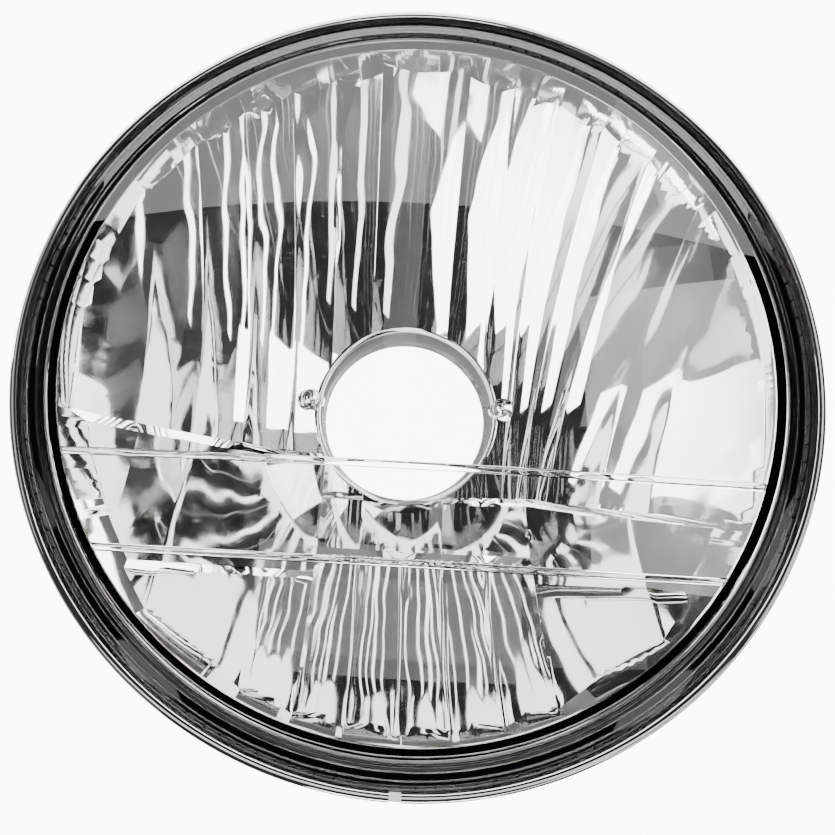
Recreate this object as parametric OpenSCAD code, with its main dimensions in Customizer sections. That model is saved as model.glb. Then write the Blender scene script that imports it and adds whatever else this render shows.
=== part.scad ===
// Round clear-lens headlight insert for a motorcycle: a domed glass lens, a mirrored
// fluted reflector and, behind the neck, the seat and wire clip that hold the bulb.
// X is to the right seen from the front, Z is up, and the lens looks along -Y.
// The origin is on the lamp's axis, in the plane where the rear of the flange seats.

/* [Rim] */
// Outer radius of the flange
rim_r = 73; // [70:0.5:90]
// Depth of the rim, from its front edge to the seat plane
rim_h = 7.6; // [6.6:0.1:10]
// Thickness of the lip round the lens
lip_wall = 1.5; // [1.2:0.1:2.5]
// Chamfer on the front edge of the lip
lip_chamfer = 0.4; // [0.2:0.1:0.6]
// Thickness of the flange under the channel
flange_wall = 1.6; // [1.2:0.1:2.2]
// Width of the notch in the lip at six o'clock
notch_w = 2; // [1:0.5:6]
// Depth of the notch in the lip
notch_h = 1.2; // [0.5:0.1:2]
// How far each locating lug behind the flange lies in from the rim
lug_inset = 1; // [0.5:0.1:2]
// Radial width of each locating lug
lug_w = 3; // [2:0.5:4]
// Height of each locating lug
lug_h = 2; // [1:0.5:4]
// Angle that each locating lug spans
lug_angle = 8; // [4:1:20]
// Number of locating lugs
lug_count = 3; // [2:1:6]

/* [Lens] */
// Gap for sealant round the lens skirt
seal_gap = 0.4; // [0.2:0.1:0.8]
// How far the edge of the lens lies behind the front edge of the lip
lens_drop = 1.2; // [0.6:0.1:1.8]
// Width of the stepped shoulder round the domed window
shoulder_w = 5.4; // [4.6:0.1:6]
// How far the edge of the window stands in front of the lip
window_rise = 0.6; // [0:0.1:1.5]
// Width of the groove round the window
groove_w = 1.2; // [0.6:0.1:1.4]
// How far the groove's floor stands in front of the edge of the lens
groove_h = 0.9; // [0.6:0.1:1.2]
// Width of the bead outside the groove
bead_w = 0.6; // [0.3:0.1:0.8]
// How far the bead stands in front of the groove's floor
bead_h = 0.4; // [0.2:0.1:0.6]
// Width of the ledge outside the bead
ledge_w = 1.2; // [0.6:0.1:1.4]
// How far the ledge stands in front of the edge of the lens
ledge_h = 0.5; // [0.2:0.1:0.6]
// Width over which each of these steps slopes
step_lean = 0.3; // [0.1:0.1:0.4]
// Height of the dome over the edge of the window
dome_rise = 4.5; // [2:0.5:12]
// Thickness of the glass
glass_wall = 2.8; // [2:0.1:4]
// Width of the thick edge round the inside of the window
inner_edge_w = 1.1; // [0.8:0.1:2]
// Width of the glass skirt in the channel
skirt_w = 3.8; // [3:0.1:4.5]
// Depth of the land that the skirt's inner side rests on, behind the lip's front edge
land_depth = 2.2; // [2:0.1:3]
// Thickness of the sealant under the skirt
seal_h = 1; // [0.5:0.1:1.6]
// Height of the sealant beside the skirt
seal_side = 2; // [0.5:0.1:2.6]
// Height of the upper moulded line on the lens
upper_line_z = -18.5; // [-30:0.5:10]
// Height of the lower moulded line on the lens
lower_line_z = -35; // [-50:0.5:-31]
// Width of a moulded line
line_w = 1.4; // [0.6:0.1:2]
// How far a moulded line stands in from the glass
line_h = 0.45; // [0.2:0.05:0.8]
// Width of the locating lug on the rim of the lens
lens_lug_w = 8.8; // [4:0.2:14]
// Height of the locating lug on the rim of the lens
lens_lug_h = 0.55; // [0.3:0.05:0.9]
// Distance of that lug from the edge of the lens
lens_lug_inset = 0.4; // [0.2:0.1:0.8]

/* [Reflector] */
// Focal length of the bowl
focal = 23; // [21:0.5:26]
// Depth of the bowl's vertex behind the front edge of the lip
vertex_depth = 47.7; // [46:0.1:52]
// Thickness of the shell at its vertex
shell_wall = 3; // [2.5:0.1:4]
// How much flatter the back of the shell is than the bowl
shell_flatter = 1.4; // [1:0.1:2]
// How far the bowl's edge, carried on to the front of the lip, lies inside the channel
mouth_w = 1.5; // [1.2:0.1:2]
// Draft of the side wall, in degrees from the lamp's axis
side_draft = 24; // [20:1:28]
// How far the upper half is raised against the lamp's axis
upper_shift = 0.9; // [0:0.1:2]

/* [Flutes] */
// Width of one flute
pitch = 8.9; // [8.4:0.1:9.2]
// How deep a flute one pitch wide is hollowed
flute_sag = 0.4; // [0.1:0.05:1]
// How far the wide middle flute stands proud of its neighbours
middle_proud = 0.8; // [0:0.1:1.5]
// Height of the cut-off step left of the bulb hole
left_step_z = -10.3; // [-16:0.1:-6]
// Height of the cut-off step right of the bulb hole
right_step_z = -18.8; // [-24:0.1:-18]
// Slope of the cut-off step to the right, in degrees
right_slope = 9.7; // [0:0.1:15]
// Height of the row line under the bulb hole
inner_row_z = -31.5; // [-34:0.1:-29]
// Height of the row line at the sides
outer_row_z = -36.8; // [-42:0.1:-35]
// How much deeper the middle row is than the bowl
middle_step = 1.2; // [0.4:0.1:2]
// How much deeper the lower row is than the bowl
lower_step = 0.5; // [0.2:0.1:1.5]
// Height of the bevel at each step
bevel_h = 1.5; // [0.6:0.1:2]
// How far the fan of flutes at the upper right leans, at most
fan_lean = 0.24; // [0:0.01:0.26]
// Width left outside the last flute edge on the right
last_w = 6.4; // [4:0.1:9]

/* [Neck] */
// Radius of the hole for the bulb in the reflector
hole_r = 19.7; // [19.2:0.1:21]
// Radial width of the flat land round the hole
hole_land = 1.2; // [0.8:0.1:2]
// Depth of that land behind the front edge of the lip
hole_depth = 42.9; // [42:0.1:44]
// Length of the neck, from the land to the seat
neck_length = 7.6; // [7:0.1:10]
// How far the neck stands out past the seat's edge
neck_margin = 0.5; // [0.2:0.1:3]
// Radius of the moulded bosses beside the hole
boss_r = 2.4; // [1.5:0.1:3]
// Distance of the bosses' centres from the edge of the hole
boss_out = 2.3; // [1.5:0.1:3]
// Height of the bosses and the seat screws over the lamp's axis
boss_z = 2.3; // [0:0.1:4]
// How far the bosses stand in front of the land
boss_proud = 3.4; // [2:0.1:4]

/* [Bulb seat] */
// Radius of the hole in the seat
seat_bore_r = 19; // [18:0.1:19.2]
// Width of the seat outside the axes of its screws
seat_edge = 3; // [2.6:0.1:5]
// Thickness of the sheet
sheet = 1.2; // [0.8:0.1:1.6]
// Radius inside the collar that centres the bulb's flange
collar_r = 21.7; // [21.5:0.1:22]
// Height of the collar
collar_h = 0.8; // [0.4:0.1:0.9]
// Width of each notch for a tab of the bulb
tab_w = 8; // [4:0.5:10]
// Thickness of the bulb's flange
bulb_flange = 1; // [1:0.1:1.5]
// Gap between the collar and each screw's head
screw_gap = 0.1; // [0.1:0.1:1]
// Radius of a screw's thread
screw_r = 1.5; // [1:0.1:1.6]
// Length of a screw's thread
screw_length = 6; // [4:0.5:7]
// Radius of a screw's head
screw_head_r = 2.5; // [2:0.1:2.6]
// Height of a screw's head
screw_head_h = 1.8; // [1:0.1:2.5]
// Height of the straight edge of a screw's head
screw_edge_h = 0.8; // [0.4:0.1:1]
// Width of the cross in a screw's head
screw_cross_w = 0.8; // [0.5:0.1:1]
// Length of the cross in a screw's head
screw_cross_l = 3; // [2:0.1:3.4]
// Depth of the cross in a screw's head
screw_cross_h = 1; // [0.5:0.1:1.2]

/* [Bulb clip] */
// Radius of the clip's wire
wire_r = 0.75; // [0.6:0.05:0.9]
// Radial clearance of the wire in its knuckle
hinge_gap = 0.05; // [0.03:0.01:0.1]
// Wall of the knuckle
knuckle_wall = 1; // [0.8:0.1:1.2]
// Width of the knuckle
knuckle_w = 14; // [8:0.5:16]
// How far the hinge lies inside the seat's edge
hinge_inset = 2.5; // [2:0.1:3]
// Length of the clip from its hinge to its cross bar
clip_length = 51.5; // [50:0.1:51.9]
// Half the distance between the clip's arms
arm_x = 15; // [12:0.5:17]
// Radius of the bends in the clip, at the middle of the wire
bend_r = 2.5; // [2:0.1:3]
// Share of the clip's length over which each end tapers
clip_shoulder = 0.16; // [0.14:0.01:0.25]
// Half the length of the clip's cross bar
bar_x = 5; // [3:0.5:8]
// Half the width of the catch
catch_x = 4; // [2:0.5:8]
// Width of the catch's foot on the seat's ring
catch_foot = 4; // [2:0.5:5]
// How far the catch's lip flares past its wall
catch_lip = 1.2; // [0.4:0.1:2]
// Clearance between the catch and the closed clip
catch_gap = 0.25; // [0.15:0.05:0.4]

/* [Hidden] */
$fn = 96;

// Small overrun, so that cuts pass right through a face
over = 1;

// Depths along the axis: the lip's front edge, the glass land and the channel's floor
lip_y = -rim_h;
land_y = lip_y + land_depth;
floor_y = -flange_wall;

// The channel that holds the lens runs between these radii
channel_out_r = rim_r - lip_wall;
lens_r = channel_out_r - seal_gap;
skirt_in_r = lens_r - skirt_w;
channel_in_r = skirt_in_r - seal_gap;
skirt_y = floor_y - seal_h;
window_r = lens_r - shoulder_w;
inner_r = window_r - inner_edge_w;
lug_r = rim_r - lug_inset;
mouth_r = channel_in_r - mouth_w;
last_edge = mouth_r - last_w;

// The ledge on the rim of the lens, and the front of the lens at its edge
lens_y = lip_y + lens_drop;
ledge_r = window_r + 3 * step_lean + groove_w + bead_w;
ledge_y = lens_y - ledge_h;

// The seat spreads just far enough to hold its screws, and the neck carries it
screw_x = collar_r + sheet + screw_gap + screw_head_r;
seat_r = screw_x + seat_edge;
neck_r = seat_r + neck_margin;
hinge_drop = seat_r - hinge_inset;
boss_x = hole_r + boss_out;

// The reflector's planes
vertex_y = lip_y + vertex_depth;
hole_y = lip_y + hole_depth;
seat_y = hole_y + neck_length;
mouth_slope = tan(side_draft);

// The back of the seat's sheet, and the axis of the clip's hinge
sheet_y = seat_y + sheet;
hinge_y = sheet_y + bulb_flange + wire_r;
knuckle_r = wire_r + hinge_gap + knuckle_wall;

// Bent wire is a little thicker in its bends, and its straights run on into them
wire_swell = 0.03;
wire_lap = 0.3;

// Steps along an arc of the dome, and along the back of the shell
dome_steps = 28;
shell_steps = 16;

// The core that forms the bowl is a grid: strips across, rows upwards
fan_start = 2.4 * pitch;
fan_span = 3 * pitch;
grid_margin = 1.6;
half_grid = mouth_r + grid_margin;
strip_gap = 0.2;
flute_steps = 4;
lower_rows = 7;
middle_rows = 5;
upper_rows = 16;
upper_edges = [-half_grid, -6 * pitch, -5 * pitch, -4 * pitch, -3 * pitch, -2 * pitch, -pitch,
               pitch, 2 * pitch, 3 * pitch, 4 * pitch, 5 * pitch, 6 * pitch, last_edge, half_grid];
middle_edges = [-half_grid, -5 * pitch, -2 * pitch, -pitch, pitch, 3 * pitch, 5 * pitch, half_grid];
lower_edges = [-half_grid, -5 * pitch, -3 * pitch, -2 * pitch, -pitch, 0,
               pitch, 2 * pitch, 3 * pitch, 5 * pitch, half_grid];
strip_edges = [-half_grid, -6 * pitch, -5 * pitch, -4 * pitch, -3 * pitch, -2 * pitch, -pitch, 0,
               pitch, 2 * pitch, 3 * pitch, 4 * pitch, 5 * pitch, 6 * pitch, last_edge, half_grid];

function mix(a, b, t) = a + (b - a) * t;

// Front of the window at radius r, as a depth along the axis
function dome_y(r) = lip_y - window_rise - dome_rise * (1 - pow(r / window_r, 2));

// The plain bowl, with its axis raised by shift
function bowl_y(x, z, shift) = vertex_y - (x * x + pow(z - shift, 2)) / (4 * focal);

// The front of the core lies clear of everything
core_front_y = bowl_y(half_grid, half_grid, 0) - over;

// Number of the strip of a row that holds u, and how far that strip is hollowed there
function strip_of(u, edges) = [for (i = [0 : len(edges) - 2]) if (u > edges[i] && u < edges[i + 1]) i][0];
function hollow(u, edges) =
    let (i = strip_of(u, edges), w = edges[i + 1] - edges[i], t = (u - edges[i]) / w)
    flute_sag * w / pitch * 4 * t * (1 - t);

function proud(u) = abs(u) < pitch ? middle_proud : 0;

// Height of the cut-off step and of the row line at a place across the reflector
function step_z(x) = x < -2 * pitch ? left_step_z
                   : right_step_z - tan(right_slope) * max(0, x - 3 * pitch);
function row_z(x) = x > -2 * pitch && x < 3 * pitch ? inner_row_z : outer_row_z;

// The upper right flutes lean towards the bulb hole, each from its end at the side wall
function lean(u) = u > last_edge ? fan_lean * (half_grid - u) / (half_grid - last_edge)
                 : fan_lean * min(1, max(0, (u - fan_start) / fan_span));
function flute_top(u) = sqrt(max(0, pow(mouth_r, 2) - u * u));
function fan_x(u, z) = u - lean(u) * max(0, flute_top(u) - z);

// One column of the grid, from the bottom of the reflector to its top
function column(u) =
    let (foot = step_z(fan_x(u, right_step_z)))
    concat(
        [for (i = [0 : lower_rows])
            let (z = mix(-half_grid, row_z(u) - bevel_h, i / lower_rows))
            [u, bowl_y(u, z, 0) + lower_step + hollow(u, lower_edges), z]],
        [for (i = [0 : middle_rows])
            let (z = mix(row_z(u), step_z(u) - bevel_h, i / middle_rows))
            [u, bowl_y(u, z, 0) + middle_step + hollow(u, middle_edges), z]],
        [for (i = [0 : upper_rows])
            let (z = mix(foot, half_grid, i / upper_rows), x = fan_x(u, z))
            [x, bowl_y(x, z, upper_shift) + hollow(u, upper_edges) - proud(u), z]]
    );

// Turns a shape built up the Z axis so that it points backwards along the lamp's axis
module along_axis() { rotate([-90, 0, 0]) children(); }

// A body of revolution from points given as radius and place along the lamp's axis
module turned(points, angle = 360) {
    along_axis() rotate_extrude(angle = angle) polygon(points);
}

// The solid that fills the bowl: its back is the mirrored surface
module bowl_core() {
    grid = [for (k = [0 : len(strip_edges) - 2]) for (j = [0 : flute_steps])
        column(mix(strip_edges[k] + strip_gap / 2, strip_edges[k + 1] - strip_gap / 2, j / flute_steps))];
    columns = len(grid);
    rows = len(grid[0]);
    last_c = columns - 1;
    last_r = rows - 1;
    // The border of the grid, in order round it, and the same points moved to the front
    border = concat(
        [for (c = [0 : last_c]) [c, 0]], [for (r = [1 : last_r]) [last_c, r]],
        [for (c = [last_c - 1 : -1 : 0]) [c, last_r]], [for (r = [last_r - 1 : -1 : 1]) [0, r]]);
    n = len(border);
    front = [for (b = border) let (p = grid[b[0]][b[1]]) [p[0], core_front_y, p[2]]];
    first_front = columns * rows;
    middle = first_front + n;
    points = concat([for (c = grid) for (p = c) p], front, [[0, core_front_y, 0]]);
    function at(c, r) = c * rows + r;
    function edge(k) = at(border[k % n][0], border[k % n][1]);
    function face(k) = first_front + k % n;
    skin = [for (c = [0 : last_c - 1]) for (r = [0 : last_r - 1])
        each [[at(c, r), at(c + 1, r), at(c + 1, r + 1)], [at(c, r), at(c + 1, r + 1), at(c, r + 1)]]];
    sides = [for (k = [0 : n - 1])
        each [[edge(k), face(k), face(k + 1)], [edge(k), face(k + 1), edge(k + 1)]]];
    cap = [for (k = [0 : n - 1]) [middle, face(k + 1), face(k)]];
    polyhedron(points, concat(skin, sides, cap), convexity = 10);
}

// The space inside the reflector: the core, trimmed by the drafted side wall
module bowl_space() {
    wall_end = vertex_y + shell_wall + over;
    intersection() {
        bowl_core();
        turned([[0, lip_y - over], [mouth_r + over * mouth_slope, lip_y - over],
                [mouth_r - (wall_end - lip_y) * mouth_slope, wall_end], [0, wall_end]]);
    }
}

// The reflector before it is hollowed: rim, paraboloid back and neck
module reflector_blank() {
    back_top = vertex_y + shell_wall;
    back_focal = focal + shell_flatter;
    back_r = sqrt(4 * back_focal * back_top);
    back = [for (i = [0 : shell_steps])
        let (r = mix(back_r, neck_r, i / shell_steps)) [r, back_top - r * r / (4 * back_focal)]];
    turned(concat(
        [[0, lip_y], [rim_r - lip_chamfer, lip_y], [rim_r, lip_y + lip_chamfer], [rim_r, 0]],
        back, [[neck_r, seat_y], [0, seat_y]]));
}

// Lugs behind the flange that stop the insert from turning in its shell
module locating_lugs() {
    for (i = [0 : lug_count - 1])
        rotate([0, 90 - 360 * i / lug_count - lug_angle / 2, 0])
            turned([[lug_r - lug_w, -over / 2], [lug_r, -over / 2],
                    [lug_r, lug_h], [lug_r - lug_w, lug_h]], lug_angle);
}

// A moulded boss beside the hole: a short pillar with a round end
module hole_boss(side) {
    translate([side * boss_x, hole_y - boss_proud + boss_r, boss_z]) {
        sphere(r = boss_r);
        along_axis() cylinder(r = boss_r, h = boss_proud);
    }
}

module reflector() {
    color("gainsboro")
    difference() {
        union() {
            difference() {
                reflector_blank();
                bowl_space();
                turned([[0, lip_y - over], [channel_out_r, lip_y - over],
                        [channel_out_r, land_y], [0, land_y]]);
                turned([[channel_in_r, lip_y], [channel_out_r, lip_y],
                        [channel_out_r, floor_y], [channel_in_r, floor_y]]);
            }
            translate([0, hole_y, 0]) along_axis() cylinder(r = hole_r + hole_land, h = neck_length - over);
            for (side = [-1, 1]) hole_boss(side);
            locating_lugs();
        }
        translate([0, hole_y - boss_proud - over, 0]) along_axis()
            cylinder(r = hole_r, h = neck_length + boss_proud + 2 * over);
        for (side = [-1, 1])
            translate([side * screw_x, seat_y - screw_length - over / 2, boss_z]) along_axis()
                cylinder(r = screw_r + hinge_gap, h = screw_length + over);
        translate([-notch_w / 2, lip_y - over, -rim_r - over])
            cube([notch_w, notch_h + over, lip_wall + over]);
    }
}

// The lens in section: dome, groove, bead and ledge, skirt, land and inside of the dome
module lens_body() {
    outside = [for (i = [0 : dome_steps]) let (r = window_r * i / dome_steps) [r, dome_y(r)]];
    inside = [for (i = [dome_steps : -1 : 0])
        let (r = inner_r * i / dome_steps) [r, dome_y(r) + glass_wall]];
    groove_r = window_r + step_lean;
    bead_r = groove_r + groove_w + step_lean;
    groove_y = lens_y - groove_h;
    turned(concat(outside, [
        [groove_r, groove_y], [groove_r + groove_w, groove_y],
        [bead_r, groove_y - bead_h], [bead_r + bead_w, groove_y - bead_h],
        [ledge_r, ledge_y], [ledge_r + ledge_w, ledge_y], [ledge_r + ledge_w + step_lean, lens_y],
        [lens_r, lens_y], [lens_r, skirt_y], [skirt_in_r, skirt_y],
        [skirt_in_r, land_y], [inner_r, land_y]], inside));
}

// A horizontal line moulded on the inside of the glass
module lens_line(z) {
    radii = [for (i = [0 : dome_steps]) inner_r * i / dome_steps];
    intersection() {
        turned(concat(
            [for (r = radii) [r, dome_y(r) + glass_wall - line_h]],
            [for (i = [dome_steps : -1 : 0]) [radii[i], dome_y(radii[i]) + glass_wall + line_h]]));
        translate([-window_r, lip_y - dome_rise - over, z - line_w / 2])
            cube([2 * window_r, 2 * dome_rise + rim_h, line_w]);
    }
}

module lens() {
    lug_half = asin(lens_lug_w / 2 / lens_r);
    color("lightcyan", 0.4) {
        lens_body();
        lens_line(upper_line_z);
        lens_line(lower_line_z);
        rotate([0, 90 - lug_half, 0])
            turned([[ledge_r, land_y], [ledge_r, ledge_y - lens_lug_h],
                    [lens_r - lens_lug_inset, ledge_y - lens_lug_h], [lens_r - lens_lug_inset, land_y]],
                   2 * lug_half);
    }
}

// Sealant round the skirt of the lens
module lens_seal() {
    top = floor_y - seal_h - seal_side;
    color("dimgray")
    turned([[channel_in_r, floor_y], [channel_out_r, floor_y], [channel_out_r, top], [lens_r, top],
            [lens_r, skirt_y], [skirt_in_r, skirt_y], [skirt_in_r, top], [channel_in_r, top]]);
}

// Knuckle rolled from the lower edge of the seat round the clip's wire
module knuckle() {
    translate([-knuckle_w / 2, hinge_y, -hinge_drop]) rotate([0, 90, 0])
        cylinder(r = knuckle_r, h = knuckle_w);
    translate([-knuckle_w / 2, seat_y, -hinge_drop - knuckle_r])
        cube([knuckle_w, hinge_y - seat_y, knuckle_wall]);
}

// Catch beyond the cross bar of the closed clip: a foot on the ring, a wall, and a lip flared
// away from the bar, which guides it in
module clip_catch() {
    wall_z = clip_length - hinge_drop + wire_r + catch_gap;
    wall_end = hinge_y + wire_r + catch_gap;
    foot_z = min(wall_z, seat_r - catch_foot);
    translate([-catch_x, seat_y, foot_z]) cube([2 * catch_x, sheet, wall_z + sheet - foot_z]);
    translate([-catch_x, seat_y, wall_z]) cube([2 * catch_x, wall_end + sheet - seat_y, sheet]);
    translate([-catch_x, wall_end, wall_z]) cube([2 * catch_x, sheet, sheet + catch_lip]);
}

// Ring of the seat, with the notched collar that centres the bulb's flange
module seat_ring() {
    difference() {
        turned([[seat_bore_r, seat_y], [seat_r, seat_y], [seat_r, sheet_y],
                [collar_r + sheet, sheet_y], [collar_r + sheet, sheet_y + collar_h],
                [collar_r, sheet_y + collar_h], [collar_r, sheet_y], [seat_bore_r, sheet_y]]);
        for (turn = [0, 120, 240]) rotate([0, turn, 0])
            translate([-tab_w / 2, sheet_y, collar_r - over])
                cube([tab_w, collar_h + over, sheet + 2 * over]);
    }
}

module bulb_seat() {
    color("silver")
    difference() {
        union() {
            seat_ring();
            knuckle();
            clip_catch();
        }
        translate([-knuckle_w / 2 - over, hinge_y, -hinge_drop]) rotate([0, 90, 0])
            cylinder(r = wire_r + hinge_gap, h = knuckle_w + 2 * over);
        for (side = [-1, 1]) translate([side * screw_x, seat_y - over, boss_z]) along_axis()
            cylinder(r = screw_r + hinge_gap, h = sheet + 2 * over);
    }
}

// Screw with a domed head and a cross recess
module seat_screw(side) {
    head_dome = [for (a = [0 : 15 : 75])
        [screw_head_r * cos(a), screw_edge_h + (screw_head_h - screw_edge_h) * sin(a)]];
    color("lightgray")
    translate([side * screw_x, sheet_y, boss_z]) difference() {
        union() {
            translate([0, -screw_length, 0]) along_axis() cylinder(r = screw_r, h = screw_length);
            turned(concat([[0, 0], [screw_head_r, 0]], head_dome, [[0, screw_head_h]]));
        }
        for (turn = [0, 90]) rotate([0, turn, 0])
            translate([-screw_cross_l / 2, screw_head_h - screw_cross_h, -screw_cross_w / 2])
                cube([screw_cross_l, screw_cross_h + over, screw_cross_w]);
    }
}
module seat_screw_left() { seat_screw(-1); }
module seat_screw_right() { seat_screw(1); }

// A closed loop of wire in the XZ plane, through corners given anticlockwise, each corner bent
module wire_loop(corners) {
    n = len(corners);
    ways = [for (i = [0 : n - 1]) corners[(i + 1) % n] - corners[i]];
    headings = [for (w = ways) atan2(w[1], w[0])];
    turns = [for (i = [0 : n - 1]) (headings[i] - headings[(i + n - 1) % n] + 720) % 360];
    cuts = [for (t = turns) bend_r * tan(t / 2)];
    straights = [for (i = [0 : n - 1]) norm(ways[i]) - cuts[i] - cuts[(i + 1) % n]];
    rotate([90, 0, 0])
    for (i = [0 : n - 1]) {
        // The straight length after this corner, running a little way into both bends
        translate(corners[i]) rotate([0, 0, headings[i]]) translate([cuts[i] - wire_lap, 0, 0])
            rotate([0, 90, 0]) cylinder(r = wire_r, h = straights[i] + 2 * wire_lap);
        // The bend at the corner itself
        translate(corners[i]) rotate([0, 0, headings[(i + n - 1) % n]]) translate([-cuts[i], bend_r, 0])
            rotate([0, 0, -90]) rotate_extrude(angle = turns[i])
                translate([bend_r, 0]) circle(r = wire_r + wire_swell);
    }
}

// The wire clip, hanging open below its hinge
module bulb_clip() {
    pin_x = knuckle_w / 2 + bend_r;
    shoulder = -clip_shoulder * clip_length;
    foot = -(1 - clip_shoulder) * clip_length;
    color("darkgray")
    translate([0, hinge_y, -hinge_drop])
        wire_loop([[-pin_x, 0], [-arm_x, shoulder], [-arm_x, foot], [-bar_x, -clip_length],
                   [bar_x, -clip_length], [arm_x, foot], [arm_x, shoulder], [pin_x, 0]]);
}

lens();
lens_seal();
reflector();
bulb_seat();
seat_screw_left();
seat_screw_right();
bulb_clip();
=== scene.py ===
import math

import bmesh
import bpy
import numpy as np
from mathutils import Matrix, Vector


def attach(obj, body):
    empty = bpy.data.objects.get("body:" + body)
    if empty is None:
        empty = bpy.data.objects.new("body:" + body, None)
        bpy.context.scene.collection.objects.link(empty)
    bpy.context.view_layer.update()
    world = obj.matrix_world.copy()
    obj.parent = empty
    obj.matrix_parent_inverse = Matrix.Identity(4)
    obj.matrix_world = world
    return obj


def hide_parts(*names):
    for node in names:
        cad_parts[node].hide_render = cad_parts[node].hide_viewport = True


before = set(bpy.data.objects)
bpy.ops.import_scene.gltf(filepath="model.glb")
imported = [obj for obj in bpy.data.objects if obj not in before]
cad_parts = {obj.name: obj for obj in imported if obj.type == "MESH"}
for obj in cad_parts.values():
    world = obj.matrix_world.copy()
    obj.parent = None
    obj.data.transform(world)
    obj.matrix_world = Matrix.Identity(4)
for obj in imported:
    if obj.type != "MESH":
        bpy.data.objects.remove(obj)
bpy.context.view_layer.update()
MM = 0.001

# Sizes in millimetres and degrees, the same as in the part's source.
# Rim, flange and lugs
RIM_R = 73.0
RIM_H = 7.6
LIP_WALL = 1.5
LIP_CHAMFER = 0.4
FLANGE_WALL = 1.6
NOTCH_W = 2.0
NOTCH_H = 1.2
LUG_INSET = 1.0
LUG_W = 3.0
LUG_H = 2.0
LUG_ANGLE = 8.0
LUG_COUNT = 3
# Lens and its seat in the rim
SEAL_GAP = 0.4
SEAL_H = 1.0
LENS_DROP = 1.2
SHOULDER_W = 5.4
WINDOW_RISE = 0.6
DOME_RISE = 4.5
GLASS_WALL = 2.8
SKIRT_W = 3.8
LAND_DEPTH = 2.2
INNER_EDGE_W = 1.1
GROOVE_W = 1.2
GROOVE_H = 0.9
BEAD_W = 0.6
BEAD_H = 0.4
LEDGE_W = 1.2
LEDGE_H = 0.5
STEP_LEAN = 0.3
LINE_Z = (-18.5, -35.0)
LINE_W = 1.4
LINE_H = 0.45
# Bowl and shell
FOCAL = 23.0
VERTEX_DEPTH = 47.7
SHELL_WALL = 3.0
SHELL_FLATTER = 1.4
MOUTH_W = 1.5
SIDE_DRAFT = 24.0
UPPER_SHIFT = 0.9
# Flutes and steps
PITCH = 8.9
FLUTE_SAG = 0.4
MIDDLE_PROUD = 0.8
LEFT_STEP = -10.3
RIGHT_STEP = -18.8
RIGHT_SLOPE = 9.7
INNER_ROW = -31.5
OUTER_ROW = -36.8
MIDDLE_STEP = 1.2
LOWER_STEP = 0.5
BEVEL = 1.5
FAN_LEAN = 0.24
FAN_START = 2.4
FAN_SPAN = 3
LAST_W = 6.4
# Bulb hole, neck and bosses
HOLE_R = 19.7
HOLE_LAND = 1.2
HOLE_DEPTH = 42.9
NECK_LENGTH = 7.6
NECK_R = 29.0
BOSS_R = 2.4
BOSS_OUT = 2.3
BOSS_Z = 2.3
BOSS_PROUD = 3.4

# Places that follow from them; y is the distance behind the flange's rear, and forwards is negative.
LIP_Y = -RIM_H
LAND_Y = LIP_Y + LAND_DEPTH
FLOOR_Y = -FLANGE_WALL
CHANNEL_OUT = RIM_R - LIP_WALL
LENS_R = CHANNEL_OUT - SEAL_GAP
SKIRT_IN = LENS_R - SKIRT_W
CHANNEL_IN = SKIRT_IN - SEAL_GAP
SKIRT_Y = FLOOR_Y - SEAL_H
VERTEX_Y = LIP_Y + VERTEX_DEPTH
HOLE_Y = LIP_Y + HOLE_DEPTH
SEAT_Y = HOLE_Y + NECK_LENGTH
LAND_R = HOLE_R + HOLE_LAND
MOUTH_R = CHANNEL_IN - MOUTH_W
LAST_EDGE = MOUTH_R - LAST_W
BOSS_X = HOLE_R + BOSS_OUT
LENS_Y = LIP_Y + LENS_DROP
WINDOW_R = LENS_R - SHOULDER_W
INNER_R = WINDOW_R - INNER_EDGE_W
GROOVE_R = WINDOW_R + STEP_LEAN
GROOVE_Y = LENS_Y - GROOVE_H
BEAD_R = GROOVE_R + GROOVE_W + STEP_LEAN
BEAD_Y = GROOVE_Y - BEAD_H
LEDGE_R = BEAD_R + BEAD_W + STEP_LEAN
LEDGE_Y = LENS_Y - LEDGE_H
DRAFT_SLOPE = math.tan(math.radians(SIDE_DRAFT))

# What only the meshes here have: the lugs' roots reach into the flange, and the bosses have a foot,
# given as places outwards and back from the boss's side.
LUG_SUNK = 0.4
BOSS_FOOT = ((0.0, 0.0), (0.25, 0.4), (0.6, 0.55))
# How far the coating stays from the flange's rear, and how far it reaches into the hole
COAT_GAP = 0.3
COAT_REACH = 0.2
# The least difference between two radii that counts
MARGIN = 0.02
# How finely the meshes are made
LENS_AROUND = 256
DOME_RINGS = 48
FACE_COLUMNS = 96
FACE_ROWS = 120
MOULDING_AROUND = 288
SHELL_RINGS = 40
LUG_STEPS = 10
BOSS_AROUND = 48
BOSS_RINGS = 12
ROUND_STEPS = 3
LINE_POINTS = 9
# Roundings of edges, in millimetres
LENS_EDGE = 0.16
LUG_EDGE = 0.4
MOULDING_EDGE = 0.3
CAD_EDGE = 0.12
# Angles above which an edge stays sharp
LENS_SHARP = 35
BOWL_SHARP = 13
MOULDING_SHARP = 40
BOSS_SHARP = 60
# Distances in metres below which points join and slivers close
LENS_WELD = 2e-6
BOWL_WELD = 3e-6
SLIVER = 1e-7


def material(name, base, metallic, rough):
    """A new material; returns it and its shader."""
    new = bpy.data.materials.new(name)
    new.use_nodes = True
    shader = new.node_tree.nodes["Principled BSDF"]
    shader.inputs["Base Color"].default_value = (*base, 1)
    shader.inputs["Metallic"].default_value = metallic
    shader.inputs["Roughness"].default_value = rough
    return new, shader


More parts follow.
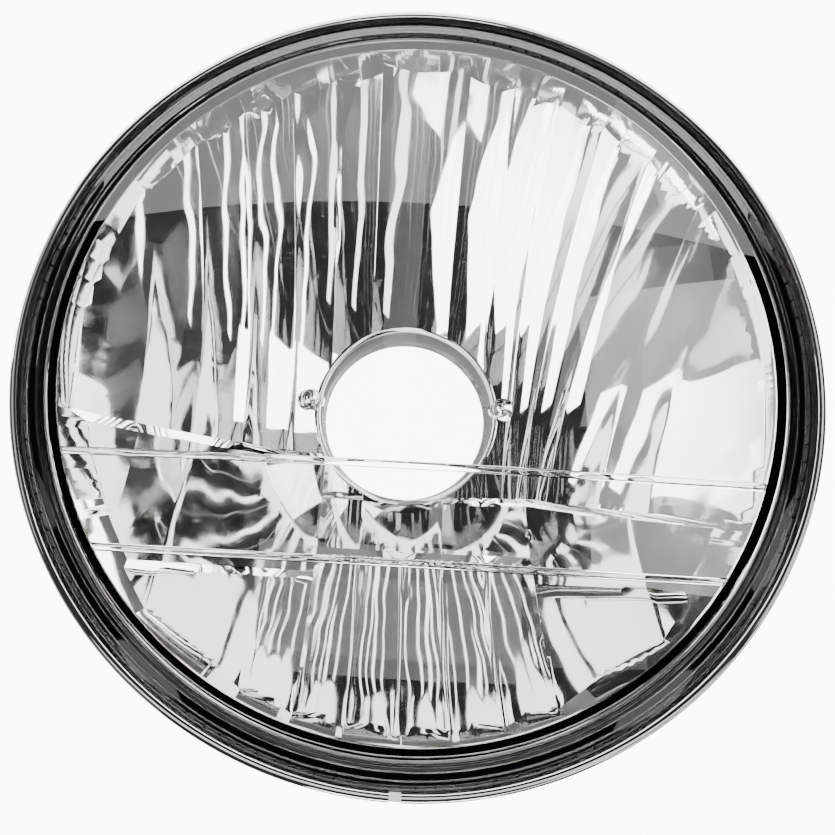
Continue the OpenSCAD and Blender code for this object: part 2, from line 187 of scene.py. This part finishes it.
def noise(shader, scale, detail, stretch=(1, 1, 1)):
    """Noise in the part's own space."""
    tree = shader.id_data
    coords = tree.nodes.new("ShaderNodeTexCoord")
    mapping = tree.nodes.new("ShaderNodeMapping")
    mapping.inputs["Scale"].default_value = stretch
    texture = tree.nodes.new("ShaderNodeTexNoise")
    texture.inputs["Scale"].default_value = scale
    texture.inputs["Detail"].default_value = detail
    tree.links.new(coords.outputs["Object"], mapping.inputs["Vector"])
    tree.links.new(mapping.outputs["Vector"], texture.inputs["Vector"])
    return texture.outputs["Fac"]


def vary(shader, socket, height, low, high):
    """Lets a socket run between two (place, colour) stops as the noise rises."""
    tree = shader.id_data
    ramp = tree.nodes.new("ShaderNodeValToRGB")
    for stop, (place, colour) in zip(ramp.color_ramp.elements, (low, high)):
        stop.position = place
        stop.color = (*colour, 1)
    tree.links.new(height, ramp.inputs["Fac"])
    tree.links.new(ramp.outputs["Color"], shader.inputs[socket])


def bump(shader, height, strength, distance):
    """Lets the noise tilt the surface."""
    tree = shader.id_data
    node = tree.nodes.new("ShaderNodeBump")
    node.inputs["Strength"].default_value = strength
    node.inputs["Distance"].default_value = distance
    tree.links.new(height, node.inputs["Height"])
    tree.links.new(node.outputs["Normal"], shader.inputs["Normal"])


def grey(value):
    return (value, value, value)


def mirror_material():
    """Bright metal coating: slightly uneven in colour and gloss, with long soft ripples."""
    new, shader = material("reflector_mirror", (0.90, 0.89, 0.87), 1.0, 0.03)
    vary(shader, "Base Color", noise(shader, 60, 3), (0.3, (0.87, 0.86, 0.83)), (0.7, (0.93, 0.93, 0.92)))
    vary(shader, "Roughness", noise(shader, 220, 2), (0.35, grey(0.02)), (0.75, grey(0.07)))
    bump(shader, noise(shader, 80, 0.6, (1, 1, 0.5)), 0.8, 0.0004)
    return new


def shell_material():
    """The moulding's back: matt, faintly metallised by overspray, finely grained."""
    new, shader = material("shell_back", (0.55, 0.55, 0.54), 0.75, 0.42)
    vary(shader, "Base Color", noise(shader, 55, 5, (1, 0.3, 1)),
         (0.32, (0.42, 0.42, 0.415)), (0.7, (0.6, 0.6, 0.59)))
    vary(shader, "Roughness", noise(shader, 40, 4), (0.3, grey(0.36)), (0.75, grey(0.52)))
    bump(shader, noise(shader, 900, 3), 0.45, 0.0001)
    return new


def glass_material(name, specular, ripple, coat=0.0):
    """Clear moulded glass with a faint ripple."""
    new, shader = material(name, (0.985, 0.99, 0.985), 0.0, 0.0)
    shader.inputs["Transmission Weight"].default_value = 1.0
    shader.inputs["IOR"].default_value = 1.5
    shader.inputs["Specular IOR Level"].default_value = specular
    shader.inputs["Coat Weight"].default_value = coat
    shader.inputs["Coat Roughness"].default_value = 0.0
    bump(shader, noise(shader, 35, 2), ripple, 0.0001)
    return new


def seal_material():
    """Grey sealant, seen through the glass."""
    new, shader = material("seal_rubber", (0.22, 0.22, 0.21), 0.0, 0.3)
    bump(shader, noise(shader, 600, 3), 0.3, 0.0001)
    return new


def seat_material():
    """Stamped steel with fine drawing marks."""
    new, shader = material("seat_steel", (0.62, 0.61, 0.59), 1.0, 0.3)
    vary(shader, "Base Color", noise(shader, 80, 4), (0.3, (0.58, 0.57, 0.54)), (0.7, (0.68, 0.68, 0.67)))
    marks = noise(shader, 500, 2, (0.15, 1, 1))
    vary(shader, "Roughness", marks, (0.3, grey(0.24)), (0.7, grey(0.4)))
    bump(shader, marks, 0.15, 0.00004)
    return new


def screw_material():
    """Plated steel, a little stained."""
    new, shader = material("screw_steel", (0.5, 0.5, 0.48), 1.0, 0.34)
    vary(shader, "Base Color", noise(shader, 400, 3), (0.3, (0.42, 0.42, 0.40)), (0.7, (0.58, 0.58, 0.56)))
    return new


def wire_material():
    """Bright spring wire, unevenly worn."""
    new, shader = material("clip_wire", (0.7, 0.7, 0.69), 1.0, 0.22)
    vary(shader, "Roughness", noise(shader, 700, 2), (0.3, grey(0.18)), (0.7, grey(0.34)))
    return new


def make(name, verts, faces, mat, sharp=None):
    """A new piece on the housing from points in millimetres, with edges kept above the sharp angle."""
    mesh = bpy.data.meshes.new(name)
    points = [tuple(float(c) * MM for c in v) for v in verts]
    mesh.from_pydata(points, [], [tuple(int(i) for i in f) for f in faces])
    mesh.validate()
    mesh.update()
    mesh.materials.append(mat)
    piece = bpy.data.objects.new(name, mesh)
    bpy.context.scene.collection.objects.link(piece)
    mesh.shade_smooth()
    if sharp:
        mesh.set_sharp_from_angle(angle=math.radians(sharp))
    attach(piece, "housing")
    return piece


def write_back(bm, mesh, sharp):
    """Puts an edited mesh back, its faces turned outwards."""
    bmesh.ops.recalc_face_normals(bm, faces=bm.faces)
    bm.to_mesh(mesh)
    bm.free()
    mesh.shade_smooth()
    mesh.set_sharp_from_angle(angle=math.radians(sharp))


def ring_faces(rings, around):
    """Quads between rings of points."""
    faces = []
    for i in range(rings - 1):
        for k in range(around):
            m = (k + 1) % around
            faces.append((i * around + k, i * around + m, (i + 1) * around + m, (i + 1) * around + k))
    return faces


def rounded(points, r, closed=True):
    """A profile with its corners rounded off; an open one keeps its two ends."""
    straight = -0.97
    most_of_side = 0.45
    out = []
    for i in range(len(points)):
        if not closed and i in (0, len(points) - 1):
            out.append(points[i])
            continue
        p, a, b = (np.array(points[j % len(points)], float) for j in (i, i - 1, i + 1))
        to_a, to_b = a - p, b - p
        length_a, length_b = np.hypot(*to_a), np.hypot(*to_b)
        to_a, to_b = to_a / length_a, to_b / length_b
        if np.dot(to_a, to_b) < straight:
            out.append(tuple(p))
            continue
        t = min(r, most_of_side * length_a, most_of_side * length_b)
        for k in range(ROUND_STEPS + 1):
            u = k / ROUND_STEPS
            out.append(tuple((1 - u) ** 2 * (p + to_a * t) + 2 * u * (1 - u) * p + u * u * (p + to_b * t)))
    return out


def dome_y(r):
    """Depth of the outer face of the glass."""
    return LIP_Y - WINDOW_RISE - DOME_RISE * (1 - (r / WINDOW_R) ** 2)


def inner_y(x, z):
    """Depth of the inner face of the glass, with its two moulded lines."""
    edge_margin = 0.2
    r = math.hypot(x, z)
    y = dome_y(r) + GLASS_WALL
    if r < INNER_R - edge_margin:
        for z0 in LINE_Z:
            t = min(abs(z - z0) / (LINE_W / 2), 1)
            y += LINE_H * math.sqrt(1 - t * t)
    return y


def lens_outside():
    """The glass without its inner face: dome, stepped rim and skirt."""
    radii = [WINDOW_R * i / DOME_RINGS for i in range(1, DOME_RINGS + 1)]
    rim = [(WINDOW_R, dome_y(WINDOW_R)), (GROOVE_R, GROOVE_Y), (GROOVE_R + GROOVE_W, GROOVE_Y),
           (BEAD_R, BEAD_Y), (BEAD_R + BEAD_W, BEAD_Y),
           (LEDGE_R, LEDGE_Y), (LEDGE_R + LEDGE_W, LEDGE_Y), (LEDGE_R + LEDGE_W + STEP_LEAN, LENS_Y),
           (LENS_R, LENS_Y), (LENS_R, SKIRT_Y), (SKIRT_IN, SKIRT_Y), (SKIRT_IN, LAND_Y),
           (INNER_R, LAND_Y), (INNER_R, dome_y(INNER_R) + GLASS_WALL)]
    profile = [(r, dome_y(r)) for r in radii] + rounded(rim, LENS_EDGE)[1:]
    turns = [2 * math.pi * k / LENS_AROUND for k in range(LENS_AROUND)]
    verts = [(r * math.cos(a), y, r * math.sin(a)) for r, y in profile for a in turns]
    faces = [face[::-1] for face in ring_faces(len(profile), LENS_AROUND)]
    middle = len(verts)
    verts.append((0.0, dome_y(0.0), 0.0))
    faces += [(middle, k, (k + 1) % LENS_AROUND) for k in range(LENS_AROUND)]
    return verts, faces


def lens_inside():
    """The inner face of the glass, on a grid that is dense across the moulded lines."""
    line_margin = 0.02
    levels = set(np.linspace(-INNER_R, INNER_R, FACE_ROWS).tolist())
    for z0 in LINE_Z:
        levels |= {z0 + d for d in np.linspace(-LINE_W / 2, LINE_W / 2, LINE_POINTS)}
        levels |= {z0 - LINE_W / 2 - line_margin, z0 + LINE_W / 2 + line_margin}
    verts = []
    for z in sorted(levels):
        half = math.sqrt(max(INNER_R ** 2 - z * z, 0))
        for k in range(FACE_COLUMNS + 1):
            x = half * math.sin((k / FACE_COLUMNS - 0.5) * math.pi)
            verts.append((x, inner_y(x, z), z))
    faces = []
    across = FACE_COLUMNS + 1
    for i in range(len(levels) - 1):
        for k in range(FACE_COLUMNS):
            a = i * across + k
            faces.append((a, a + 1, a + across + 1, a + across))
    return verts, faces


def lens():
    """The glass, its inner face sewn to the rim into one closed solid."""
    verts, faces = lens_outside()
    window = glass_material("lens_glass", 0.1, 0.04, 0.2)
    piece = make("lens_glass_outer", verts, faces, window)
    piece.data.materials.append(glass_material("lens_rim_glass", 1.0, 0.1, 1.0))
    piece.data.materials.append(glass_material("lens_inner_glass", 0.1, 0.04))
    verts, faces = lens_inside()
    bm = bmesh.new()
    bm.from_mesh(piece.data)
    points = [bm.verts.new((x * MM, y * MM, z * MM)) for x, y, z in verts]
    for face in faces:
        bm.faces.new([points[i] for i in face])
    bmesh.ops.remove_doubles(bm, verts=bm.verts, dist=LENS_WELD)
    bmesh.ops.dissolve_degenerate(bm, edges=bm.edges, dist=SLIVER)
    bmesh.ops.bridge_loops(bm, edges=[e for e in bm.edges if len(e.link_faces) == 1])
    write_back(bm, piece.data, LENS_SHARP)
    rim_glass, inner_glass = 1, 2
    for face in piece.data.polygons:
        x, y, z = face.center / MM
        r = math.hypot(x, z)
        if r > WINDOW_R:
            face.material_index = rim_glass
        elif y > dome_y(r) + GLASS_WALL / 2:
            face.material_index = inner_glass
    return piece


# The mirrored bowl has strips across and three fields upwards, as in the part's source.
GRID_MARGIN = 1.6
HALF_GRID = MOUTH_R + GRID_MARGIN
STRIPS = [-HALF_GRID, *[PITCH * k for k in range(-6, 7)], LAST_EDGE, HALF_GRID]
# The edges of the flutes in each field; the upper field has none in the middle.
UPPER = np.array([edge for edge in STRIPS if edge != 0])
MIDDLE = np.array([-HALF_GRID, *[PITCH * k for k in (-5, -2, -1, 1, 3, 5)], HALF_GRID])
LOWER = np.array([-HALF_GRID, *[PITCH * k for k in (-5, -3, -2, -1, 0, 1, 2, 3, 5)], HALF_GRID])
STRIP_GAP = 0.12
STRIP_COLUMNS = 12
LOWER_ROWS = 26
MIDDLE_ROWS = 14
UPPER_ROWS = 60


def bowl_y(x, z, shift=0.0):
    """Depth of the plain bowl."""
    return VERTEX_Y - (x * x + (z - shift) ** 2) / (4 * FOCAL)


def hollow(u, edges):
    """Depth of the flute at u, between the two edges beside it."""
    i = np.clip(np.searchsorted(edges, u) - 1, 0, len(edges) - 2)
    width = edges[i + 1] - edges[i]
    t = (u - edges[i]) / width
    return FLUTE_SAG * width / PITCH * 4 * t * (1 - t)


def step_z(x):
    """Height of the cut-off step, level on the left and sloping on the right."""
    fall = math.tan(math.radians(RIGHT_SLOPE)) * max(0, x - 3 * PITCH)
    return LEFT_STEP if x < -2 * PITCH else RIGHT_STEP - fall


def row_z(x):
    """Height of the top of the lower field."""
    return INNER_ROW if -2 * PITCH < x < 3 * PITCH else OUTER_ROW


def fan_lean(u):
    """How far the flute at u leans, for each millimetre of height."""
    if u > LAST_EDGE:
        return FAN_LEAN * (HALF_GRID - u) / (HALF_GRID - LAST_EDGE)
    return FAN_LEAN * min(max((u - FAN_START * PITCH) / (FAN_SPAN * PITCH), 0), 1)


def fan_x(u, z):
    """Place across of the flute at u, at that height."""
    top = math.sqrt(max(0, MOUTH_R ** 2 - u * u))
    return u - fan_lean(u) * np.maximum(0, top - z)


def wall_r(y):
    """Radius of the drafted side wall."""
    return MOUTH_R - (y - LIP_Y) * DRAFT_SLOPE


def bowl_column(u):
    """Points up the bowl at one place across: lower, middle and upper field."""
    z = np.linspace(-HALF_GRID, row_z(u) - BEVEL, LOWER_ROWS + 1)
    lower = np.stack([np.full_like(z, u), bowl_y(u, z) + LOWER_STEP + hollow(u, LOWER), z], 1)
    z = np.linspace(row_z(u), step_z(u) - BEVEL, MIDDLE_ROWS + 1)
    middle = np.stack([np.full_like(z, u), bowl_y(u, z) + MIDDLE_STEP + hollow(u, MIDDLE), z], 1)
    z = np.linspace(step_z(fan_x(u, RIGHT_STEP)), HALF_GRID, UPPER_ROWS + 1)
    x = fan_x(u, z)
    proud = MIDDLE_PROUD if abs(u) < PITCH else 0.0
    upper = np.stack([x, bowl_y(x, z, UPPER_SHIFT) + hollow(u, UPPER) - proud, z], 1)
    return np.concatenate([lower, middle, upper])


def bowl_grid():
    """Points and triangles of the fluted surface, larger than the bowl itself."""
    columns = []
    for left, right in zip(STRIPS[:-1], STRIPS[1:]):
        for u in np.linspace(left + STRIP_GAP / 2, right - STRIP_GAP / 2, STRIP_COLUMNS + 1):
            columns.append(bowl_column(u))
    rows = len(columns[0])
    triangles = []
    for c in range(len(columns) - 1):
        for r in range(rows - 1):
            a = c * rows + r
            b = a + rows
            triangles += [[a, b + 1, b], [a, a + 1, b + 1]]
    return np.concatenate(columns), triangles


def clip(points, polygons, inside):
    """Keeps the part of each polygon where inside is positive; returns it with the cut edges."""
    value = inside(points)
    points = [tuple(p) for p in points]
    crossings = {}

    def crossing(a, b):
        a, b = min(a, b), max(a, b)
        if (a, b) not in crossings:
            start, end = np.array(points[a]), np.array(points[b])
            crossings[a, b] = len(points)
            points.append(tuple(start + (end - start) * value[a] / (value[a] - value[b])))
        return crossings[a, b]

    kept, cut = [], []
    for polygon in polygons:
        new, marks = [], []
        for a, b in zip(polygon, polygon[1:] + polygon[:1]):
            if value[a] > 0:
                new.append(a)
            if (value[a] > 0) != (value[b] > 0):
                marks.append(crossing(a, b))
                new.append(marks[-1])
        if len(new) >= 3:
            kept.append(new)
        if len(marks) == 2:
            cut.append(marks)
    return np.array(points), kept, cut


def loop_of(cut):
    """Chains cut edges into one loop of point numbers."""
    near = {}
    for a, b in cut:
        near.setdefault(a, []).append(b)
        near.setdefault(b, []).append(a)
    loop = [cut[0][0]]
    seen = set(loop)
    while True:
        onward = [k for k in near[loop[-1]] if k not in seen]
        if not onward:
            return loop
        seen.add(onward[0])
        loop.append(onward[0])


def add_wall(points, faces, loop, r, y):
    """Adds a strip of faces from a loop of points to the circle of radius r at depth y."""
    first = len(points)
    count = len(loop)
    for i in loop:
        a = math.atan2(points[i][2], points[i][0])
        points.append([r * math.cos(a), y, r * math.sin(a)])
    for k in range(count):
        m = (k + 1) % count
        faces.append([loop[k], loop[m], first + m, first + k])


def bowl(mat):
    """The mirrored side of the reflector, from the mouth to the lip of the bulb hole."""
    points, faces = bowl_grid()
    points, faces, cut = clip(points, faces, lambda p: wall_r(p[:, 1]) - np.hypot(p[:, 0], p[:, 2]))
    mouth = loop_of(cut)
    points, faces, cut = clip(points, faces, lambda p: np.hypot(p[:, 0], p[:, 2]) - LAND_R)
    hole = loop_of(cut)
    points = points.tolist()
    add_wall(points, faces, mouth, wall_r(LAND_Y), LAND_Y)
    add_wall(points, faces, hole, LAND_R, HOLE_Y)
    piece = make("reflector_bowl", points, faces, mat)
    bm = bmesh.new()
    bm.from_mesh(piece.data)
    bmesh.ops.remove_doubles(bm, verts=bm.verts, dist=BOWL_WELD)
    bmesh.ops.dissolve_degenerate(bm, edges=bm.edges, dist=SLIVER)
    bmesh.ops.delete(bm, geom=[v for v in bm.verts if not v.link_faces], context="VERTS")
    write_back(bm, piece.data, BOWL_SHARP)
    return piece


def moulding_profile():
    """The rest of the reflector, from the mouth round the rim, the back and the neck to the hole."""
    back_focal = FOCAL + SHELL_FLATTER
    back_top = VERTEX_Y + SHELL_WALL
    back_r = math.sqrt(4 * back_focal * back_top)
    radii = [back_r + (NECK_R - back_r) * i / SHELL_RINGS for i in range(SHELL_RINGS + 1)]
    back = [(r, back_top - r * r / (4 * back_focal)) for r in radii]
    rim = [(wall_r(LAND_Y), LAND_Y), (CHANNEL_IN, LAND_Y), (CHANNEL_IN, FLOOR_Y), (CHANNEL_OUT, FLOOR_Y),
           (CHANNEL_OUT, LIP_Y), (RIM_R - LIP_CHAMFER, LIP_Y), (RIM_R, LIP_Y + LIP_CHAMFER), (RIM_R, 0)]
    neck = [(NECK_R, SEAT_Y), (HOLE_R, SEAT_Y), (HOLE_R, HOLE_Y), (LAND_R, HOLE_Y)]
    return rounded(rim + back + neck, MOULDING_EDGE, closed=False)


def moulding(shell, mirror):
    """The profile turned about the lamp's axis, with a notch at the bottom of the lip."""
    profile = moulding_profile()
    bottom = 1.5 * math.pi
    half_notch = NOTCH_W / 2 / RIM_R
    floor_share = 0.97
    wall_shares = (0.0, 0.96, 1.0, 1.25)
    turns = set(np.linspace(0, 2 * math.pi, MOULDING_AROUND + 1)[:-1].tolist())
    turns |= {bottom + side * half_notch * share for side in (-1, 1) for share in wall_shares}
    turns = sorted(turns)
    verts = []
    for r, y in profile:
        for a in turns:
            in_notch = abs(a - bottom) <= half_notch * floor_share and r > CHANNEL_OUT - MARGIN
            depth = max(y, LIP_Y + NOTCH_H) if in_notch else y
            verts.append((r * math.cos(a), depth, r * math.sin(a)))
    faces = [face[::-1] for face in ring_faces(len(profile), len(turns))]
    piece = make("reflector_moulding", verts, faces, shell, MOULDING_SHARP)
    piece.data.materials.append(mirror)
    for face in piece.data.polygons:
        corners = [piece.data.vertices[i].co / MM for i in face.vertices]
        y = np.mean([p.y for p in corners])
        r = np.mean([math.hypot(p.x, p.z) for p in corners])
        # the coating covers what is seen from the front: rim, channel, land and lip of the hole
        on_rim = y < -COAT_GAP and r < RIM_R - MARGIN
        on_hole = y < HOLE_Y + COAT_REACH and HOLE_R - MARGIN < r < LAND_R + MARGIN
        if on_rim or on_hole:
            face.material_index = 1


def locating_lug(number, mat):
    """One of the lugs behind the flange: an arc with rounded edges."""
    middle = math.radians(-90 + 360 * number / LUG_COUNT)
    half = math.radians(LUG_ANGLE / 2)
    outer = RIM_R - LUG_INSET
    inner = outer - LUG_W
    corners = [(inner, -LUG_SUNK), (outer, -LUG_SUNK), (outer, LUG_H), (inner, LUG_H)]
    profile = rounded(corners, LUG_EDGE)
    count = len(profile)
    verts = []
    for k in range(LUG_STEPS + 1):
        a = middle - half + 2 * half * k / LUG_STEPS
        verts += [(r * math.cos(a), y, r * math.sin(a)) for r, y in profile]
    faces = ring_faces(LUG_STEPS + 1, count)
    faces += [tuple(range(count)), tuple(reversed(range(LUG_STEPS * count, (LUG_STEPS + 1) * count)))]
    make("locating_lug_%d" % (number + 1), verts, faces, mat, MOULDING_SHARP)


def hole_boss(side, word, mat):
    """A moulded boss beside the hole, with a round nose and a small foot."""
    bends = [k / BOSS_RINGS * math.pi / 2 for k in range(BOSS_RINGS + 1)]
    profile = [(BOSS_R * math.sin(a), BOSS_R * (1 - math.cos(a))) for a in bends]
    profile += [(BOSS_R + outwards, BOSS_PROUD + back) for outwards, back in BOSS_FOOT]
    turns = [2 * math.pi * k / BOSS_AROUND for k in range(BOSS_AROUND)]
    verts = [(side * BOSS_X + r * math.cos(a), HOLE_Y - BOSS_PROUD + h, BOSS_Z + r * math.sin(a))
             for r, h in profile for a in turns]
    faces = ring_faces(len(profile), BOSS_AROUND)
    make("hole_boss_" + word, verts, faces, mat, BOSS_SHARP)


def dress(name, mat, sharp):
    """Gives a CAD node its material and a fine bevel on edges sharper than the angle."""
    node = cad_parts[name]
    node.data.materials.clear()
    node.data.materials.append(mat)
    bevel = node.modifiers.new("edges", "BEVEL")
    bevel.width = CAD_EDGE * MM
    bevel.segments = 2
    bevel.limit_method = "ANGLE"
    bevel.angle_limit = math.radians(sharp)
    bevel.harden_normals = True


# The stage: walls in millimetres, and cards
WALL_SIZE = 5000
WALL_GLOW = 11.0
FLOOR_Z = -112
WALL_Z = 200
BACKDROP_Y = 900
WALL_OUT = 2400
# A row is a name, azimuth, elevation, width and height in degrees, strength, and distance in millimetres.
# The first cards are seen by every surface.
SHARED_CARDS = (
    ("wall_right", 84, 0, 44, 70, 0.06, 1200),
    ("wall_left", -84, -15, 44, 70, 0.32, 1200),
    ("window_left_high", -88, 24, 36, 26, 10.0, 1180),
    ("window_high_right", 52, 46, 30, 22, 5.0, 1160),
    ("strip_right", 68, -20, 2.2, 60, 11.0, 1190),
    ("strip_right_inner", 57.5, -26, 2.5, 50, 11.0, 1190),
    ("strip_low", 30, -48, 5, 36, 5.0, 1190),
    ("floor_front", 12, -74, 30, 12, 10.0, 1160),
    ("floor_front_left", -16, -76, 12, 12, 10.0, 1160),
    ("back_fill", 180, 5, 150, 110, 0.45, 1300),
    ("back_high", 165, 52, 70, 34, 3.0, 1250),
    ("back_left", -128, 12, 26, 60, 1.6, 1250),
    ("back_right", 118, 20, 14, 60, 2.2, 1250),
)
# These light the bowl but don't show as gloss on the front of the lens.
BOWL_CARDS = (
    ("window_left", -44, -42, 32, 38, 13.0, 1190),
    ("window_left_top", -52, -6, 16, 34, 11.0, 1190),
    ("window_right", 42, 8, 38, 34, 13.0, 1190),
    ("band_front", 0, -14, 31, 15, 4.0, 1190),
    ("strip_front", 0, 30, 4, 50, 3.0, 1190),
    ("strip_ahead_left", -7, 0, 3.5, 12, 5.0, 1190),
    ("strip_ahead_right", 6, 0, 3, 12, 5.0, 1190),
)
# These show only as gloss on the front of the lens and the rim.
GLOSS_CARDS = (
    ("haze", 0, 60, 90, 50, 4.0, 1100),
    ("haze_top", 0, 82, 120, 30, 9.0, 1050),
    ("gloss_low", 2, -15, 54, 9, 1.4, 1120),
    ("gloss_left", -31, 12, 8, 30, 0.7, 1120),
    ("gloss_right", 34, 12, 9, 34, 1.2, 1120),
)
AMBIENT = (0.035, 0.035, 0.034)


def card(name, centre, size, towards, strength):
    """A bright card that the camera itself doesn't see."""
    mesh = bpy.data.meshes.new(name)
    w, h = size[0] / 2 * MM, size[1] / 2 * MM
    mesh.from_pydata([(-w, -h, 0), (w, -h, 0), (w, h, 0), (-w, h, 0)], [], [(0, 1, 2, 3)])
    glow = bpy.data.materials.new(name)
    glow.use_nodes = True
    tree = glow.node_tree
    tree.nodes.remove(tree.nodes["Principled BSDF"])
    emission = tree.nodes.new("ShaderNodeEmission")
    emission.inputs["Strength"].default_value = strength
    tree.links.new(emission.outputs[0], tree.nodes["Material Output"].inputs["Surface"])
    mesh.materials.append(glow)
    new = bpy.data.objects.new(name, mesh)
    bpy.context.scene.collection.objects.link(new)
    place, target = Vector(centre) * MM, Vector(towards) * MM
    turn = (target - place).to_track_quat("Z", "Y").to_matrix().to_4x4()
    new.matrix_world = Matrix.Translation(place) @ turn
    new.visible_camera = False
    return new


def pale_wall(name, centre, towards):
    """A white wall or floor for the camera alone, so that its light doesn't flood the part."""
    wall = card(name, centre, (WALL_SIZE, WALL_SIZE), towards, WALL_GLOW)
    wall.visible_camera = True
    wall.visible_glossy = wall.visible_transmission = wall.visible_diffuse = False
    return wall


def sky_card(name, azimuth, elevation, width, height, strength, distance):
    """A card seen from the lamp at those angles; azimuth 0 is ahead of the lens and 90 is to +X."""
    a, e = math.radians(azimuth), math.radians(elevation)
    centre = Vector((math.sin(a) * math.cos(e), -math.cos(a) * math.cos(e), math.sin(e))) * distance
    size = [2 * distance * math.tan(math.radians(angle / 2)) for angle in (width, height)]
    return card(name, centre, size, (0, 0, 0), strength)


def stage():
    """White floor and walls, cards that shape the reflections, and a faint light all round."""
    pale_wall("floor", (0, 0, FLOOR_Z), (0, 0, 500))
    backdrop = pale_wall("backdrop", (0, BACKDROP_Y, WALL_Z), (0, 0, WALL_Z))
    backdrop.visible_transmission = True
    pale_wall("front_wall", (0, -WALL_OUT, WALL_Z), (0, 0, WALL_Z))
    pale_wall("left_wall", (-WALL_OUT, 0, WALL_Z), (0, 0, WALL_Z))
    pale_wall("right_wall", (WALL_OUT, 0, WALL_Z), (0, 0, WALL_Z))
    for row in SHARED_CARDS:
        sky_card(*row)
    for row in BOWL_CARDS:
        sky_card(*row).visible_glossy = False
    for row in GLOSS_CARDS:
        new = sky_card(*row)
        new.visible_transmission = new.visible_diffuse = False
    world = bpy.data.worlds.new("world")
    bpy.context.scene.world = world
    world.use_nodes = True
    background = world.node_tree.nodes["Background"]
    background.inputs["Color"].default_value = (*AMBIENT, 1)
    background.inputs["Strength"].default_value = 1.0


# The camera is fitted to the rim and the bulb hole in the photo.
CAMERA_PLACE = (-4.8, -136.5 + LIP_Y, -38.5)
CAMERA_RIGHT = (0.9983, 0.0127, 0.0561)
CAMERA_FORWARD = (-0.0239, 0.9786, 0.2042)
CAMERA_LENS = 34.0
CAMERA_SENSOR = 36.0
CAMERA_SHIFT = 0.0617


def camera():
    """The photo's camera, close in front of the lens and a little below its axis."""
    data = bpy.data.cameras.new("camera")
    data.lens = CAMERA_LENS
    data.sensor_width = CAMERA_SENSOR
    data.shift_x = CAMERA_SHIFT
    data.clip_start = 0.005
    data.clip_end = 20.0
    new = bpy.data.objects.new("camera", data)
    bpy.context.scene.collection.objects.link(new)
    right = Vector(CAMERA_RIGHT).normalized()
    up = right.cross(Vector(CAMERA_FORWARD)).normalized()
    turn = Matrix((right, up, right.cross(up))).transposed().to_4x4()
    new.matrix_world = Matrix.Translation(Vector(CAMERA_PLACE) * MM) @ turn
    bpy.context.scene.camera = new


lens_main = lens()
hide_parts("lens")
mirror = mirror_material()
shell = shell_material()
bowl_main = bowl(mirror)
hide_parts("reflector")
moulding(shell, mirror)
for number in range(LUG_COUNT):
    locating_lug(number, shell)
hole_boss(-1, "left", mirror)
hole_boss(1, "right", mirror)
dress("lens_seal", seal_material(), 30)
dress("bulb_seat", seat_material(), 30)
plated = screw_material()
dress("seat_screw_left", plated, 35)
dress("seat_screw_right", plated, 35)
dress("bulb_clip", wire_material(), 40)
stage()
camera()
